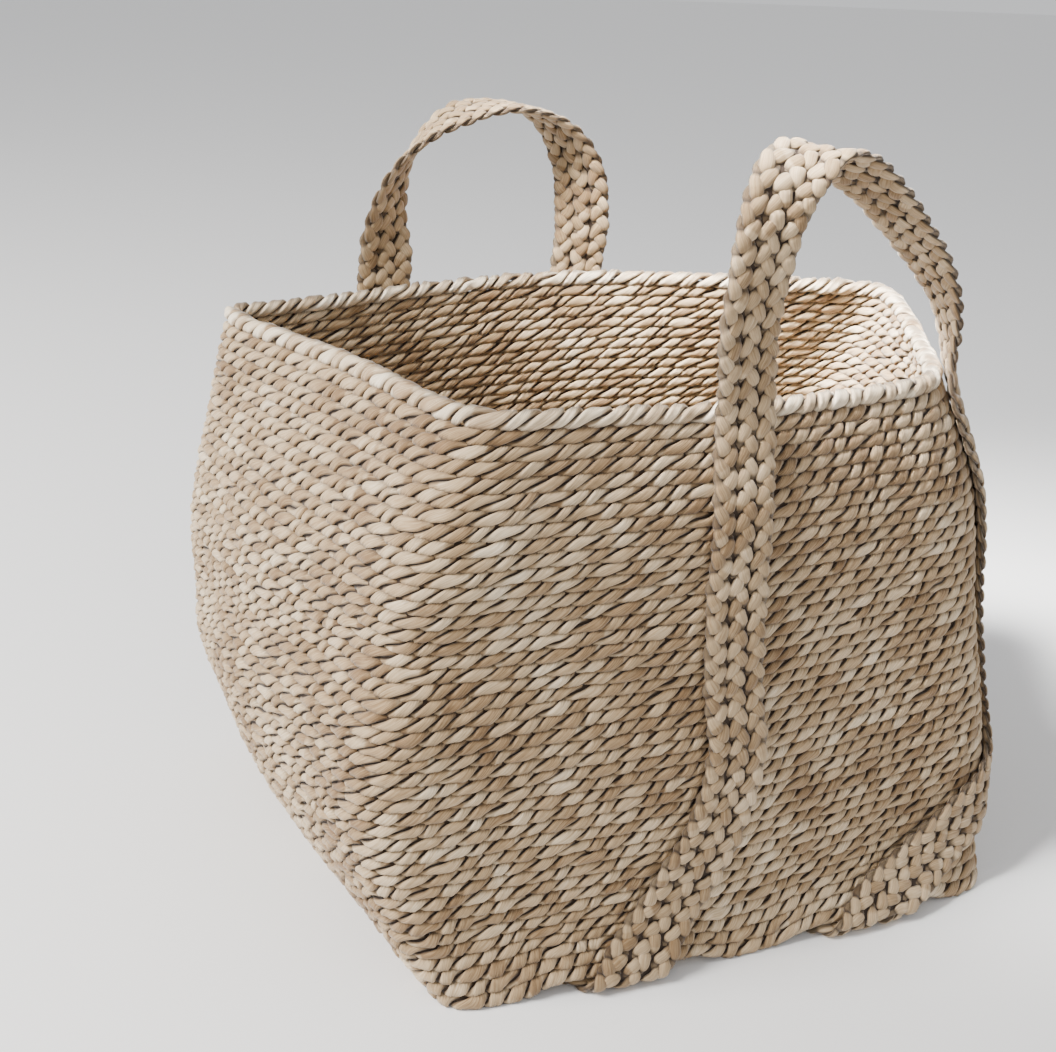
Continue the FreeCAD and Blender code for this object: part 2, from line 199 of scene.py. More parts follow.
def blend_poles(poles, u):
    """Point of the closed cubic spline at each parameter u, one unit per pole."""
    start = np.floor(u).astype(int)
    s = u - start
    weights = np.stack([(1 - s) ** 3, 3 * s ** 3 - 6 * s ** 2 + 4,
                        -3 * s ** 3 + 3 * s ** 2 + 3 * s + 1, s ** 3], -1) / 6
    index = (start[:, None] + np.arange(-1, 3)) % POLES
    poles = np.broadcast_to(poles, (len(u),) + poles.shape[1:])
    return (weights[:, :, None] * np.take_along_axis(poles, index[:, :, None], axis=1)).sum(1)


def fold_depth(u, share):
    depth = np.zeros(len(u))
    for middle, height, rise, length, tall, deep in FOLDS:
        along = (u - middle + POLES / 2) % POLES - POLES / 2
        across = share - height - rise * along
        depth += deep * MM * np.exp(-(along / length) ** 2 - (across / tall) ** 2)
    return depth


ARC_U = np.linspace(-POLES, 2 * POLES, 3 * 240 + 1)


def arc_table(share):
    """Distance along the section at this share, for each parameter in ARC_U, counted from zero."""
    line = blend_poles(poles_at(np.array([share])), ARC_U)
    table = travelled(line)
    return table - np.interp(0, ARC_U, table)


FLOOR_TABLE = arc_table(0.0)
AROUND = np.interp(POLES, ARC_U, FLOOR_TABLE)


def tuck_places():
    """Distances along the bottom edge where the four strap ends tuck under it."""
    places = []
    for middle, route in ((NEAR_MIDDLE, NEAR_LEFT), (NEAR_MIDDLE, NEAR_RIGHT),
                          (FAR_MIDDLE, FAR_LEFT), (FAR_MIDDLE, FAR_RIGHT)):
        crossing = [along for along, height in route if height == 0][0]
        places.append(np.interp(middle, ARC_U, FLOOR_TABLE) + crossing * MM)
    return places


TUCKS = tuck_places()


def tuck_lift(u, height):
    here = np.interp(u % POLES, ARC_U, FLOOR_TABLE)
    lift = np.zeros(len(u))
    for tuck in TUCKS:
        away = np.abs((here - tuck + AROUND / 2) % AROUND - AROUND / 2)
        lift = np.maximum(lift, 1 - smooth((away - TUCK_FLAT) / TUCK_FADE))
    return TUCK_LIFT * lift * (1 - smooth(height / TUCK_FADE_HEIGHT))


def wall_point(u, share, outward=0.0):
    """Points of the wall's outside, moved outwards in plan. It is about the middle of the base."""
    u = np.asarray(u, float)
    share = np.broadcast_to(share, u.shape)
    poles = poles_at(share)
    tangent = unit(blend_poles(poles, u + FINE_STEP) - blend_poles(poles, u - FINE_STEP))
    out = np.stack([tangent[:, 1], -tangent[:, 0]], -1)
    plan = blend_poles(poles, u) + out * (outward - fold_depth(u, share))[:, None]
    height = blend_poles(RIM_POLE_HEIGHTS, u)[:, 0] * share
    return np.column_stack([plan, height + tuck_lift(u, height)])


def wall_normal(u, share):
    along = wall_point(u + FINE_STEP, share) - wall_point(u - FINE_STEP, share)
    low = np.maximum(share - FINE_STEP, 0)
    high = np.minimum(share + FINE_STEP, 1)
    return unit(np.cross(along, wall_point(u, high) - wall_point(u, low)))


def frame_shift():
    """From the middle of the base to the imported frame, read off the rim cord's box."""
    u = np.linspace(0, POLES, RING_SAMPLES, endpoint=False)
    rim = np.vstack([wall_point(u, RIM_SHARE, RIM_OVERHANG), wall_point(u, 1.0, RIM_OVERHANG)])
    low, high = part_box("rim_cord")
    middle = (rim.min(0) + rim.max(0)) / 2
    return np.array([(low.x + high.x) / 2 - middle[0], (low.y + high.y) / 2 - middle[1], 0])


SHIFT = frame_shift()


# ---- meshes --------------------------------------------------------------------------------------
FLOOR_CLEARANCE = 0.2 * MM     # what rests on the floor is pressed flat against it


def tube_faces(rings, around, first, closed):
    """Quads of a tube whose points are numbered ring by ring from first."""
    ring = np.arange(rings if closed else rings - 1)[:, None]
    place = np.arange(around)[None, :]
    here = ring * around
    onward = (ring + 1) % rings * around
    corners = [here + place, onward + place, onward + (place + 1) % around, here + (place + 1) % around]
    return np.stack(corners, -1).reshape(-1, 4) + first


def cap_faces(rings, around, first):
    place = np.arange(around)
    return [place + first, (rings - 1) * around + place[::-1] + first]


def make_piece(name, tubes, closed, material):
    """One mesh of several tubes. Each tube holds rings of points, fibre coordinates, tone and a mask of
    painted crevice shade.
    """
    quads = []
    caps = []
    first = 0
    for tube in tubes:
        rings, around = tube["points"].shape[:2]
        quads.append(tube_faces(rings, around, first, closed))
        if not closed:
            caps += cap_faces(rings, around, first)
        first += rings * around
    quads = np.concatenate(quads)
    sizes = np.array([4] * len(quads) + [len(cap) for cap in caps])
    corners = np.concatenate([quads.ravel()] + caps)
    points = np.concatenate([tube["points"].reshape(-1, 3) for tube in tubes]) + SHIFT
    points[:, 2] = np.maximum(points[:, 2], FLOOR_CLEARANCE)
    mesh = bpy.data.meshes.new(name)
    mesh.vertices.add(len(points))
    mesh.vertices.foreach_set("co", points.ravel())
    mesh.loops.add(len(corners))
    mesh.loops.foreach_set("vertex_index", corners.astype(np.int32))
    mesh.polygons.add(len(sizes))
    mesh.polygons.foreach_set("loop_start", (np.cumsum(sizes) - sizes).astype(np.int32))
    mesh.polygons.foreach_set("use_smooth", np.ones(len(sizes), bool))
    for key, kind, field in (("fibre", "FLOAT_VECTOR", "vector"), ("tone", "FLOAT", "value"),
                             ("clear_of_painted_shade", "FLOAT", "value")):
        values = np.concatenate([tube[key].reshape(-1) for tube in tubes])
        mesh.attributes.new(key, kind, "POINT").data.foreach_set(field, values.astype(np.float32))
    mesh.update(calc_edges=True)
    mesh.materials.append(material)
    piece = bpy.data.objects.new(name, mesh)
    bpy.context.scene.collection.objects.link(piece)
    return piece


def rounded_box(section, squareness):
    """Cosine and sine of a section with fuller corners."""
    cos = np.cos(section)
    sin = np.sin(section)
    return np.sign(cos) * np.abs(cos) ** squareness, np.sign(sin) * np.abs(sin) ** squareness


def wander(places, rng, low, high, count=6):
    """Smooth random values for places from 0 to 1, the same at both ends, mostly within -1 and 1."""
    total = np.zeros(len(places))
    for _ in range(count):
        waves = rng.integers(low, high + 1)
        total += np.sin(2 * np.pi * (waves * places + rng.random()))
    return total / math.sqrt(count)


# ---- twisted cord --------------------------------------------------------------------------------
COURSE_LAY = 32 * MM           # length in which the two plies go once round each other
RIM_LAY = 31 * MM
BASE_RINGS = 20
COURSE_OVERLAP = 1.10          # a course is this much taller than its share of the wall
CORE_SHARE = 0.22              # half thickness of a course's core, as a share of half the cord
CORE_ROWS = 4                  # samples of a course between two rings of its core
PLY_ORBIT = 0.55               # shares of half the cord's size: where a ply's middle runs
PLY_THICK = 0.56
PLY_WIDE = 0.88
PLY_SQUARENESS = 0.90          # under 1 gives a ply's section fuller corners
FIBRE_LENGTH = 14 * MM         # how far one streak of fibre keeps its colour
FIBRE_TURNS = 5.0              # fineness of the streaks across a strand


def fibre_coordinates(run, angle, seed):
    """Noise coordinates that are long along a strand and fine across it."""
    run = np.broadcast_to(run[:, None], (len(run), len(angle))) / FIBRE_LENGTH
    across = np.broadcast_to(np.cos(angle) * FIBRE_TURNS, run.shape)
    upward = np.broadcast_to(np.sin(angle) * FIBRE_TURNS, run.shape)
    return np.stack([run + seed * 7.3, across + seed * 3.1, upward], -1)


def twisted_ring(centre, outside, upward, lay, steps, around, seed):
    """Two plies laid round each other along a closed line.

    outside and upward reach from the cord's middle to its outside and to its upper edge. Each turn of
    the plies has so many steps, and each ply so many points around.
    """
    rng = np.random.default_rng(seed)
    closed = np.vstack([centre, centre[:1]])
    known = travelled(closed)
    turns = max(int(round(known[-1] / lay)), 3)
    count = turns * steps
    places = np.arange(count) / count
    rows = [pick(places * known[-1], known, np.vstack([row, row[:1]])) for row in
            (centre, outside, upward)]
    middle, out, up = [row[:, None, :] for row in rows]
    section = np.arange(around) * 2 * np.pi / around
    wobble = 0.55 * wander(places, rng, turns // 5, turns) + rng.random() * 2 * np.pi
    tubes = []
    for ply in range(2):
        angle = 2 * np.pi * turns * places + wobble + ply * np.pi
        fat = 1 + 0.12 * wander(places, rng, turns // 3, 2 * turns)
        lift = 0.07 * wander(places, rng, turns // 4, turns)
        cos = np.cos(angle)[:, None]
        sin = np.sin(angle)[:, None]
        thick, wide = rounded_box(section, PLY_SQUARENESS)
        radial = (PLY_ORBIT + lift)[:, None] + PLY_THICK * fat[:, None] * thick
        sideways = PLY_WIDE * fat[:, None] * wide
        across = cos * radial - sin * sideways
        rise = sin * radial + cos * sideways
        points = middle + out * across[:, :, None] + up * rise[:, :, None]
        grain = np.floor((angle + np.pi / 2) / np.pi).astype(int)
        tones = rng.random(grain.max() - grain.min() + 1)[grain - grain.min()]
        # Painted shade: darker on the inner side of each ply and towards its upper and lower edges, where
        # it meets the next course.
        face = smooth((np.hypot(across, rise) - 0.62) / 0.30)
        edge = 1 - 0.75 * smooth((np.abs(rise) - 0.82) / 0.22)
        tubes.append({
            "points": points,
            "fibre": fibre_coordinates(places * known[-1], section, seed * 2 + ply),
            "tone": np.broadcast_to(tones[:, None], across.shape),
            "clear_of_painted_shade": face * edge,
        })
    return tubes


def cord_shade_core(centre, outside, upward, seed):
    """Thin band inside a course, all in the painted shade colour, that fills the gaps between its grains
    where shade would show.
    """
    corners = np.array([(CORE_SHARE, 1), (-CORE_SHARE, 1), (-CORE_SHARE, -1), (CORE_SHARE, -1)])
    rows = slice(None, None, CORE_ROWS)
    points = (centre[rows, None, :] + outside[rows, None, :] * corners[None, :, :1]
              + upward[rows, None, :] * corners[None, :, 1:])
    zeros = np.zeros(points.shape[:2])
    run = np.arange(len(points)) * FIBRE_LENGTH
    return {"points": points, "fibre": fibre_coordinates(run, np.zeros(len(corners)), seed),
            "tone": zeros, "clear_of_painted_shade": zeros}


def course_lines(low_share, high_share, outward):
    """Middle line of one course, with its upward reach."""
    u = np.linspace(0, POLES, RING_SAMPLES, endpoint=False)
    low = wall_point(u, low_share, outward)
    high = wall_point(u, high_share, outward)
    centre = (low + high) / 2
    upward = (high - low) / 2
    along = np.roll(centre, -1, axis=0) - np.roll(centre, 1, axis=0)
    return centre, unit(np.cross(along, upward)), upward


def wall_course(number, material):
    low = RIM_SHARE * (number - 1) / COURSES
    high = RIM_SHARE * number / COURSES
    centre, outside, upward = course_lines(low, high, -CORD / 2)
    tubes = twisted_ring(centre, outside * CORD / 2, upward * COURSE_OVERLAP, COURSE_LAY, 18, 10, number)
    tubes.append(cord_shade_core(centre, outside * CORD / 2, upward, number))
    node = "wall_course_%02d" % number
    piece = make_piece("cord_course_%02d" % number, tubes, True, material)
    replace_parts(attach(piece, "root"), node)
    return piece


def rim_cord(material):
    centre, outside, upward = course_lines(RIM_SHARE, 1.0, -CORD / 2)
    tubes = twisted_ring(centre, outside * RIM_WIDTH / 2, upward, RIM_LAY, 22, 14, 77)
    piece = make_piece("cord_rim", tubes, True, material)
    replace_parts(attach(piece, "root"), "rim_cord")
    return piece


def tail_lines():
    """Where the strap ends run under the base: (start, end) in plan."""
    lines = []
    for middle, route in ((NEAR_MIDDLE, NEAR_LEFT), (NEAR_MIDDLE, NEAR_RIGHT),
                          (FAR_MIDDLE, FAR_LEFT), (FAR_MIDDLE, FAR_RIGHT)):
        points, _ = strap_frame(middle, np.array(route[-2:], float)[:, 0] * MM,
                                np.array(route[-2:], float)[:, 1] * MM, 0.0)
        lines.append((points[0, :2], points[1, :2]))
    return lines


def base_lift(points, tails):
    """Hump over the strap ends."""
    lift = np.zeros(len(points))
    for start, end in tails:
        run = end - start
        share = np.clip(((points[:, :2] - start) @ run) / (run @ run), 0, 1)
        away = length_of(points[:, :2] - start - share[:, None] * run)[:, 0]
        lift = np.maximum(lift, 1 - smooth((away - STRAP_HALF - 3 * MM) / (18 * MM)))
    return lift * TUCK_LIFT


def coiled_base(material):
    """Rings of the same cord from the wall to the middle, flattened under the load."""
    u = np.linspace(0, POLES, RING_SAMPLES, endpoint=False)
    edge = wall_point(u, 0.0, -CORD)
    edge[:, 2] = 0
    middle = (edge.min(0) + edge.max(0)) / 2
    tails = tail_lines()
    tubes = []
    for ring in range(BASE_RINGS):
        outer = 1 - ring / BASE_RINGS
        reach = (edge - middle) / BASE_RINGS / 2
        centre = middle + (edge - middle) * (outer - 0.5 / BASE_RINGS)
        centre[:, 2] = CORD * 0.5 + base_lift(centre, tails)
        down = np.tile([0, 0, CORD * 0.47], (RING_SAMPLES, 1))
        tubes += twisted_ring(centre, down, reach, COURSE_LAY, 16, 8, 100 + ring)
    piece = make_piece("cord_base", tubes, True, material)
    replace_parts(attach(piece, "root"), "base_mat")
    return piece


# ---- braided straps ------------------------------------------------------------------------------
TABLE_SHARES = np.linspace(0, 1, 97)
ARC_TABLES = [arc_table(share) for share in TABLE_SHARES]


def parameter_on_face(middle, along, share):
    """Parameter of the point at a distance along a face from its middle, at each share of height."""
    place = share * (len(TABLE_SHARES) - 1)
    level = np.minimum(place.astype(int), len(TABLE_SHARES) - 2)
    result = np.zeros(len(along))
    for index in np.unique(level):
        chosen = level == index
        found = []
        for table in ARC_TABLES[index:index + 2]:
            start = np.interp(middle, ARC_U, table)
            found.append(np.interp(start + along[chosen], table, ARC_U))
        weight = place[chosen] - index
        result[chosen] = found[0] * (1 - weight) + found[1] * weight
    return result


def strap_frame(middle, along, height, out):
    """Points on or above a face and their outward directions. Below zero they go under the base."""
    share = np.clip(height / MEAN_HEIGHT, 0, 1)
    u = parameter_on_face(middle, along, share)
    point = wall_point(u, share)
    normal = wall_normal(u, share)
    level = np.column_stack([normal[:, :2], np.zeros(len(u))])
    level = unit(level)
    turn = np.clip(-height / WRAP, 0, 1)
    angle = np.arcsin(normal[:, 2]) * (1 - turn) - np.pi / 2 * turn
    wrapped = level * np.cos(angle)[:, None] + np.array([0, 0, 1]) * np.sin(angle)[:, None]
    under = (height < 0)[:, None]
    normal = np.where(under, wrapped, normal)
    moved = point - level * np.maximum(-height - WRAP, 0)[:, None]
    moved[:, 2] = TUCK_LIFT
    point = np.where(under, moved, point)
    return point + normal * np.reshape(out, (-1, 1)), normal


LATERAL = np.linspace(-1, 1, 9)


def leg_rows(middle, route, upwards):
    """Rows of points and normals across a strap leg, in the direction of travel."""
    route = np.array(route, float) * MM
    stations = catmull_rom(route[::-1] if upwards else route, 16)
    travel = unit(np.gradient(stations, axis=0))
    side = np.stack([travel[:, 1], -travel[:, 0]], -1)
    points = []
    normals = []
    clearance = RIM_OVERHANG * smooth((stations[:, 1] - MEAN_HEIGHT + 3 * RIM_HEIGHT) / RIM_HEIGHT)
    for place in LATERAL:
        spot = stations + side * place * STRAP_HALF
        point, normal = strap_frame(middle, spot[:, 0], spot[:, 1], STRAP_OUT + clearance)
        points.append(point)
        normals.append(normal)
    return np.stack(points, 1), np.stack(normals, 1)


def pivots(middle, left, right):
    ends = []
    for route in (left, right):
        point, _ = strap_frame(middle, np.array([route[0][0] * MM]), np.array([MEAN_HEIGHT]),
                               STRAP_OUT + RIM_OVERHANG)
        ends.append(point[0])
    level = max(end[2] for end in ends) + PIVOT_ABOVE_RIM
    for end in ends:
        end[2] = level
    return ends


def loop_rows(ends, table):
    """Rows of points and normals across a carry loop, from its left pivot to its right one."""
    start, end = ends
    span = np.linalg.norm(end - start)
    along = unit(end - start)
    outward = np.array([along[1], -along[0], 0])
    up = np.array([0, 0, 1.0])
    stations = catmull_rom(table, 8)
    route = (start + stations[:, :1] * span * along + stations[:, 1:2] * MM * up
             + stations[:, 2:3] * MM * outward)
    tangent = np.gradient(route, axis=0)
    tangent[0] = up
    tangent[-1] = -up
    tangent = unit(tangent)
    away = unit(np.cross(outward, tangent))
    twist = np.radians(stations[:, 3:4])
    face = outward * np.sin(twist) + away * np.cos(twist)
    across = unit(np.cross(tangent, face))
    points = route[:, None, :] + across[:, None, :] * LATERAL[None, :, None] * STRAP_HALF
    return points, np.repeat(face[:, None, :], len(LATERAL), axis=1)


ROW_STEP = 1.5 * MM
SMOOTHING = 9                  # rows over which the turn from wall to loop is eased
EASED_BELOW = 40 * MM          # how far below the rim the easing begins
EASED_FADE = 25 * MM


def strap_sheet(middle, left, right, table):
    """Evenly spaced rows of points and normals along the whole strap."""
    ends = pivots(middle, left, right)
    rise = leg_rows(middle, left, True)
    loop = loop_rows(ends, table)
    fall = leg_rows(middle, right, False)
    points = np.concatenate([rise[0], loop[0][1:-1], fall[0]])
    normals = np.concatenate([rise[1], loop[1][1:-1], fall[1]])
    known = travelled(points[:, len(LATERAL) // 2])
    places = np.arange(0, known[-1], ROW_STEP)
    points = pick(places, known, points)
    normals = pick(places, known, normals)
    height = points[:, len(LATERAL) // 2, 2]
    weight = smooth((height - (MEAN_HEIGHT - EASED_BELOW)) / EASED_FADE)[:, None, None]
    kernel = np.hanning(2 * SMOOTHING + 3)[1:-1]
    kernel /= kernel.sum()
    for rows in (points, normals):
        padded = np.concatenate([rows[:1]] * SMOOTHING + [rows] + [rows[-1:]] * SMOOTHING)
        eased = sum(padded[k:k + len(rows)] * share for k, share in enumerate(kernel))
        rows += (eased - rows) * weight
    return points, unit(normals)


STRANDS = 3                    # in each plait
PLAITS = (-1, 0, 1)            # plaits side by side across the strap
PLAIT_TURNED = {-1: False, 0: True, 1: True}          # which of them run the other way
PLAIT_PITCH = 15.6 * MM        # from one plait's middle to the next
BRAID_WIDTH = 12.0 * MM        # between a strand's two edge turns
BRAID_STEP = 7.6 * MM          # along the strap, from one crossing to the next
BRAID_DEPTH = 1.9 * MM         # how far a strand rises and dips
STRAND_WIDE = 5.0 * MM         # half sizes of a strand
STRAND_THICK = 2.0 * MM
FLATNESS = 0.55                # under 1, a strand stays up or down longer
STEEPER = 0.30                 # how much a strand straightens along the strap where it shows
CORE_THICK = 0.5 * MM          # half the thickness of the core, coloured as painted shade, that closes a strap's gaps
STRAND_AROUND = 10
STRAND_NARROWEST = 0.5         # share of a strand's width where it goes from one face to the other
PLAIT_OFFSET = 2.3 * MM        # how far neighbouring plaits' crossings are staggered


def braid_path(places, number):
    """Sideways place and height of one strand of a plait."""
    period = 2 * STRANDS
    phase = (places / BRAID_STEP + period * number / STRANDS) % period
    going = np.where(phase < STRANDS, 1.0, -1.0)
    column = np.where(phase < STRANDS, phase, period - phase)
    from_left = np.minimum(column, STRANDS - column)
    rounded = np.where(from_left < 0.5, from_left ** 2 + 0.25, from_left)
    eased = np.where(column < STRANDS / 2, rounded, STRANDS - rounded)
    inner = smooth((from_left - 0.5) / 0.5)
    sideways = eased - going * inner * STEEPER / np.pi * np.sin(np.pi * eased)
    height = going * np.cos(np.pi * column)
    height = np.where(column < 1, -going * np.sin(np.pi * column / 2), height)
    last = going * (-1) ** (STRANDS - 1) * np.sin(np.pi * (STRANDS - column) / 2)
    height = np.where(column > STRANDS - 1, last, height)
    height = np.sign(height) * np.abs(height) ** FLATNESS
    return (sideways / STRANDS - 0.5) * BRAID_WIDTH, height


def sheet_at(rows, places, sideways):
    """Values on the strap's sheet at distances along it and sideways from its middle."""
    down = np.clip(places / ROW_STEP, 0, len(rows) - 1.001)
    over = (sideways / STRAP_HALF + 1) / 2 * (len(LATERAL) - 1)
    over = np.clip(over, 0, len(LATERAL) - 1.001)
    i = down.astype(int)
    j = over.astype(int)
    a = (down - i)[:, None]
    b = (over - j)[:, None]
    return ((rows[i, j] * (1 - a) + rows[i + 1, j] * a) * (1 - b)
            + (rows[i, j + 1] * (1 - a) + rows[i + 1, j + 1] * a) * b)


def strand(sheet, plait, number, seed):
    """One strand of a plait as a flattened tube."""
    points, normals = sheet
    seed = seed * 50 + (plait + 1) * STRANDS + number
    rng = np.random.default_rng(seed)
    total = (len(points) - 1) * ROW_STEP
    places = np.arange(0, total, ROW_STEP)
    share = places / total
    run = total - places if PLAIT_TURNED[plait] else places
    sideways, height = braid_path(run + plait * PLAIT_OFFSET, number)
    sideways = sideways + plait * PLAIT_PITCH + 0.4 * MM * wander(share, rng, 20, 60)
    lift = height * BRAID_DEPTH + 0.2 * MM * wander(share, rng, 20, 80)
    normal = unit(sheet_at(normals, places, sideways))
    centre = sheet_at(points, places, sideways) + normal * lift[:, None]
    tangent = unit(np.gradient(centre, axis=0))
    normal = unit(normal - tangent * (normal * tangent).sum(-1, keepdims=True))
    across = np.cross(tangent, normal)
    section = np.arange(STRAND_AROUND) * 2 * np.pi / STRAND_AROUND
    fat = 1 + 0.09 * wander(share, rng, 30, 90)
    shown_share = smooth(np.abs(height) / 0.95)
    wide = STRAND_WIDE * fat * (STRAND_NARROWEST + (1 - STRAND_NARROWEST) * shown_share)
    ring = (across[:, None, :] * (wide[:, None] * np.cos(section))[:, :, None]
            + normal[:, None, :] * (STRAND_THICK * fat[:, None] * np.sin(section))[:, :, None])
    cell = np.floor((run + BRAID_STEP / 2) / BRAID_STEP / STRANDS).astype(int)
    tones = rng.random(cell.max() + 2)[cell]
    # Painted shade: darker where a strand dips under its neighbours, along its edges and on its inner
    # side.
    shown = np.abs(height)[:, None] * np.ones(STRAND_AROUND)
    edge = 1 - 0.85 * smooth((np.abs(np.cos(section)) - 0.82) / 0.18)
    facing = np.sign(height)[:, None] * np.sin(section)
    return {
        "points": centre[:, None, :] + ring,
        "fibre": fibre_coordinates(places, section, seed),
        "tone": np.broadcast_to(tones[:, None], shown.shape),
        "clear_of_painted_shade": smooth((shown - 0.1) / 0.45) * edge * (0.35 + 0.65 * smooth((facing + 0.3) / 0.5)),
    }


def strap_shade_core(sheet, seed):
    """Thin ribbon along the middle of a strap's thickness, all in the painted shade colour, that fills
    the gaps between its strands.
    """
    points, normals = sheet
    inner = points[:, 1:-1]
    offset = normals[:, 1:-1] * CORE_THICK
    ring = np.concatenate([inner + offset, (inner - offset)[:, ::-1]], 1)
    zeros = np.zeros(ring.shape[:2])
    run = np.arange(len(points)) * ROW_STEP
    fibre = fibre_coordinates(run, np.zeros(ring.shape[1]), seed)
    return {"points": ring, "fibre": fibre, "tone": zeros, "clear_of_painted_shade": zeros}


def braided_strap(name, middle, left, right, table, nodes, material, seed):
    sheet = strap_sheet(middle, left, right, table)
    tubes = [strand(sheet, plait, number, seed) for plait in PLAITS for number in range(STRANDS)]
    tubes.append(strap_shade_core(sheet, seed))
    piece = make_piece(name, tubes, False, material)
    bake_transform(piece)
    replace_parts(piece, *nodes)
    return piece


# ---- materials -----------------------------------------------------------------------------------
def add_node(tree, kind, **settings):
    node = tree.nodes.new(kind)
    for key, value in settings.items():
        setattr(node, key, value)
    return node


def attribute(tree, name):
    return add_node(tree, "ShaderNodeAttribute", attribute_name=name)


def maths(tree, operation, a, b):
    """A Math node of two inputs, each a socket or a number."""
    node = add_node(tree, "ShaderNodeMath", operation=operation)
    for socket, value in zip(node.inputs, (a, b)):
        if isinstance(value, (int, float)):
            socket.default_value = value
        else:
            tree.links.new(value, socket)
    return node.outputs[0]


def colour_ramp(tree, factor, stops):
    ramp = add_node(tree, "ShaderNodeValToRGB")
    elements = ramp.color_ramp.elements
    while len(elements) < len(stops):
        elements.new(0.5)
    for element, (place, colour) in zip(elements, stops):
        element.position = place
        element.color = (*colour, 1)
    tree.links.new(factor, ramp.inputs[0])
    return ramp.outputs["Color"]


def noise(tree, vector, scale, detail, rough=0.6):
    node = add_node(tree, "ShaderNodeTexNoise")
    node.inputs["Scale"].default_value = scale
    node.inputs["Detail"].default_value = detail
    node.inputs["Roughness"].default_value = rough
    tree.links.new(vector, node.inputs["Vector"])
    return node.outputs["Fac"]


STREAK_SHARE = 0.75            # how much each pattern counts in a fibre's lightness
TONE_SHARE = 0.34
FLECK_SHARE = 0.22
LIGHTNESS_OFFSET = 0.28


def fibre_material(name, stops, crevice_shade_colour, patchiness):
    """Plant fibre: streaks along each strand, a tone for each visible grain, brownish patches, and
    painted shade in the crevices.
    """
    material = bpy.data.materials.new(name)
    material.use_nodes = True
    tree = material.node_tree
    shader = tree.nodes["Principled BSDF"]
    shader.inputs["Roughness"].default_value = 0.78
    shader.inputs["Specular IOR Level"].default_value = 0.35
    shader.inputs["Sheen Weight"].default_value = 0.25
    shader.inputs["Sheen Roughness"].default_value = 0.5
    place = add_node(tree, "ShaderNodeTexCoord").outputs["Object"]
    streaks = noise(tree, attribute(tree, "fibre").outputs["Vector"], 1.0, 4)
    patches = noise(tree, place, 11.0, 3)
    flecks = noise(tree, place, 60.0, 2)
    tone = attribute(tree, "tone").outputs["Fac"]
    clear_of_painted_shade = attribute(tree, "clear_of_painted_shade").outputs["Fac"]
    value = maths(tree, "MULTIPLY", streaks, STREAK_SHARE)
    value = maths(tree, "ADD", value, maths(tree, "MULTIPLY", tone, TONE_SHARE))
    value = maths(tree, "ADD", value, maths(tree, "MULTIPLY", patches, patchiness))
    value = maths(tree, "ADD", value, maths(tree, "MULTIPLY", flecks, FLECK_SHARE))
    value = maths(tree, "SUBTRACT", value, LIGHTNESS_OFFSET + patchiness / 2)
    fibre_colour = colour_ramp(tree, value, stops)
    # Painted shade: the crevice shade colour shows where the mask falls towards nought.
    mix = add_node(tree, "ShaderNodeMix", data_type="RGBA")
    mix.inputs["A"].default_value = (*crevice_shade_colour, 1)
    tree.links.new(clear_of_painted_shade, mix.inputs["Factor"])
    tree.links.new(fibre_colour, mix.inputs["B"])
    tree.links.new(mix.outputs["Result"], shader.inputs["Base Color"])
    bump = add_node(tree, "ShaderNodeBump")
    bump.inputs["Strength"].default_value = 0.7
    bump.inputs["Distance"].default_value = 0.5 * MM
    tree.links.new(streaks, bump.inputs["Height"])
    tree.links.new(bump.outputs["Normal"], shader.inputs["Normal"])
    return material


def linear(red, green, blue):
    """Scene colour of a display colour given from 0 to 255."""
    values = [component / 255 for component in (red, green, blue)]
    return tuple(value / 12.92 if value <= 0.04045 else ((value + 0.055) / 1.055) ** 2.4
                 for value in values)


# The dark colour after the stops of each material is its painted crevice shade.
def cord_material():
    return fibre_material("woven_cord", [(0.12, linear(120, 92, 60)), (0.34, linear(166, 139, 103)),
                                         (0.55, linear(199, 176, 142)), (0.80, linear(234, 218, 192))],
                          linear(54, 37, 21), 0.7)


# The rim's paler colours are partly its own paler fibre and partly painted light on its top, lit from
# above.
def rim_material_with_painted_light():
    return fibre_material("rim_cord", [(0.12, linear(158, 130, 96)), (0.34, linear(204, 182, 150)),
                                       (0.55, linear(230, 214, 188)), (0.80, linear(248, 238, 220))],
                          linear(74, 53, 32), 0.35)


def base_material():
    return fibre_material("base_cord", [(0.12, linear(128, 100, 68)), (0.34, linear(172, 146, 110)),
                                        (0.55, linear(202, 180, 148)), (0.80, linear(226, 208, 182))],
                          linear(74, 52, 30), 0.5)


def strap_material():
    return fibre_material("braided_strap", [(0.12, linear(116, 89, 57)), (0.34, linear(152, 127, 93)),
                                            (0.55, linear(180, 156, 122)), (0.80, linear(212, 192, 162))],
                          linear(46, 31, 17), 0.45)


# ---- stage ---------------------------------------------------------------------------------------
def plain_material(name, colour):
    material = bpy.data.materials.new(name)
    material.use_nodes = True
    shader = material.node_tree.nodes["Principled BSDF"]
    shader.inputs["Base Color"].default_value = (*colour, 1)
    shader.inputs["Roughness"].default_value = 0.6
    return material


def floor():
    reach = 8.0
    corners = [(-reach, -reach, 0), (reach, -reach, 0), (reach, reach, 0), (-reach, reach, 0)]
    mesh = bpy.data.meshes.new("floor")
    mesh.from_pydata(corners, [], [(0, 1, 2, 3)])
    mesh.materials.append(plain_material("floor", (0.86, 0.855, 0.85)))
    piece = bpy.data.objects.new("floor", mesh)
    bpy.context.scene.collection.objects.link(piece)


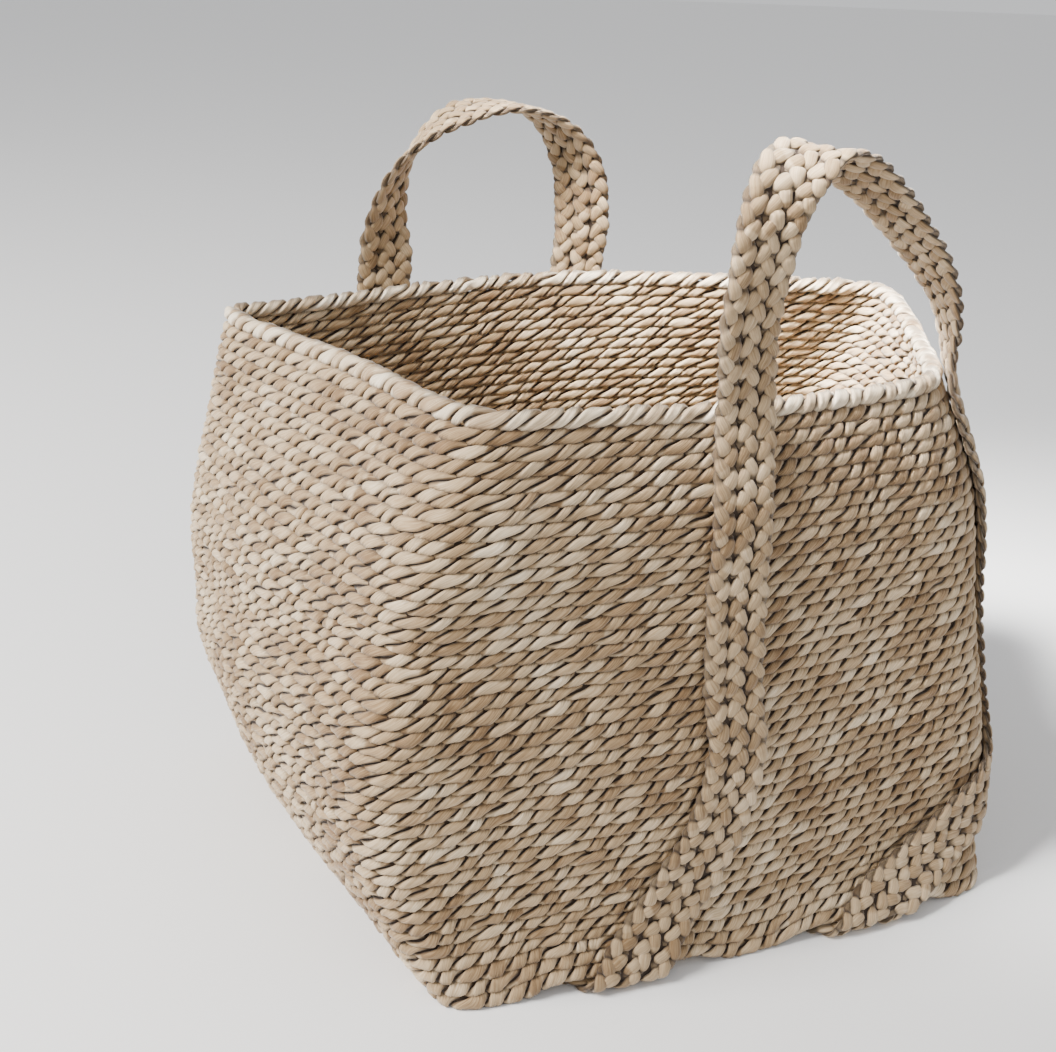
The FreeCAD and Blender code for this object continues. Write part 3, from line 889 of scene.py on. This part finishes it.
def area_light(name, place, target, size, power, colour, spread=180):
    light = bpy.data.lights.new(name, "AREA")
    light.size = size
    light.spread = math.radians(spread)
    light.energy = power
    light.color = colour
    lamp = bpy.data.objects.new(name, light)
    bpy.context.scene.collection.objects.link(lamp)
    lamp.location = place
    lamp.rotation_euler = (Vector(target) - Vector(place)).to_track_quat("-Z", "Y").to_euler()


def lights():
    area_light("window", (-2.1, 0.0, 1.9), (0, 0, 0.25), 1.1, 165, (1.0, 0.985, 0.96))
    area_light("room", (0.2, -2.6, 1.7), (0, 0, 0.25), 2.6, 9, (1.0, 0.98, 0.95))
    area_light("inside", (-0.35, -0.05, 1.15), (0.29, 0.05, 0.37), 0.25, 7, (1.0, 0.99, 0.97), 40)
    world = bpy.data.worlds.new("studio")
    bpy.context.scene.world = world
    world.use_nodes = True
    background = world.node_tree.nodes["Background"]
    background.inputs["Color"].default_value = (0.93, 0.94, 0.96, 1)
    background.inputs["Strength"].default_value = 0.8


def camera():
    """The reference view: place, heading, tilt and the small lean of a hand-held shot, as fitted."""
    eye = Vector((-0.5017, -0.9646, 0.735))
    pitch = math.radians(24.07)
    roll = math.radians(-4.28)
    heading = math.radians(24.34)
    forward = Vector((math.sin(heading) * math.cos(pitch), math.cos(heading) * math.cos(pitch),
                      -math.sin(pitch)))
    level = forward.cross(Vector((0, 0, 1))).normalized()
    right = level * math.cos(roll) + forward.cross(level) * math.sin(roll)
    up = right.cross(forward)
    data = bpy.data.cameras.new("camera")
    data.lens = 50.3
    data.sensor_width = 36
    piece = bpy.data.objects.new("camera", data)
    bpy.context.scene.collection.objects.link(piece)
    turn = Matrix((right, up, -forward)).transposed()
    piece.matrix_world = Matrix.Translation(eye) @ turn.to_4x4()
    bpy.context.scene.camera = piece


def build():
    camera()
    floor()
    lights()
    woven = cord_material()
    for number in range(1, COURSES + 1):
        wall_course(number, woven)
    rim_cord(rim_material_with_painted_light())
    coiled_base(base_material())
    braid = strap_material()
    braided_strap("near_strap", NEAR_MIDDLE, NEAR_LEFT, NEAR_RIGHT, NEAR_LOOP,
                  ["near_strap_left", "near_strap_right", "near_handle"], braid, 3)
    braided_strap("far_strap", FAR_MIDDLE, FAR_LEFT, FAR_RIGHT, FAR_LOOP,
                  ["far_strap_left", "far_strap_right", "far_handle"], braid, 4)


build()
